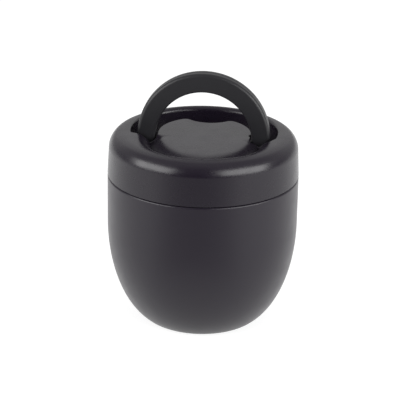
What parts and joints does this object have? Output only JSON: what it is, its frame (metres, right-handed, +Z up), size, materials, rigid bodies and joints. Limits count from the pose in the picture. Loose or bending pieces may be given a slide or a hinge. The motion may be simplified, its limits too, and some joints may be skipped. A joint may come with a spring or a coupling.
{
  "type": "insulated food jar",
  "caption": "Vacuum-walled round food jar with a full-width screw lid and an arched carrying handle that folds back into a recess in the lid.",
  "frame": {"origin": "middle of the foot, on the surface that the jar stands on", "axes": "+Z up along the jar's axis, X along the handle's axis, the handle folds back towards +Y"},
  "size_m": [0.1104, 0.1104, 0.1471],
  "materials": {
    "body_paint": "fine matt powder coat, near black",
    "liner_steel": "brushed and electropolished stainless steel",
    "solder": "dull bead",
    "getter_metal": "pressed dark powder metal",
    "lid_plastic": "satin moulded polypropylene, near black",
    "cap_plastic": "smooth moulded polypropylene, near black",
    "foam": "white expanded foam",
    "silicone": "grey silicone",
    "handle_plastic": "fine matt moulded plastic, near black",
    "pin_steel": "turned steel",
    "washer_plastic": "black nylon"
  },
  "bodies": {
    "jar": {"outer_shell": "body_paint", "inner_liner": "liner_steel", "bottom_plate": "liner_steel", "port_seal": "solder", "getter_cup": "liner_steel", "getter": "getter_metal", "base_cap": "body_paint"},
    "seal": {"lid_seal": "silicone"},
    "lid": {"lid_cover": "lid_plastic", "lid_inner_cap": "cap_plastic", "lid_foam": "foam", "handle_pins": "pin_steel", "friction_washers": "washer_plastic"},
    "handle": {"handle_front": "handle_plastic", "handle_back": "handle_plastic"}
  },
  "joints": [
    {"name": "lid_lift", "type": "slide", "parent": "jar", "child": "seal", "axis": [0, 0, 1], "range_m": [0, 0.024]},
    {"name": "lid_turn", "type": "hinge", "parent": "seal", "child": "lid", "pos_m": [0, 0, 0.0875], "axis": [0, 0, 1], "range_deg": [0, 720]},
    {"name": "handle_fold", "type": "hinge", "parent": "lid", "child": "handle", "pos_m": [0, 0, 0.1044], "axis": [-1, 0, 0], "range_deg": [0, 90]}
  ],
  "couplings": [
    {"joint": "lid_lift", "follows": "lid_turn", "m_per_rad": 0.0019099}
  ]
}
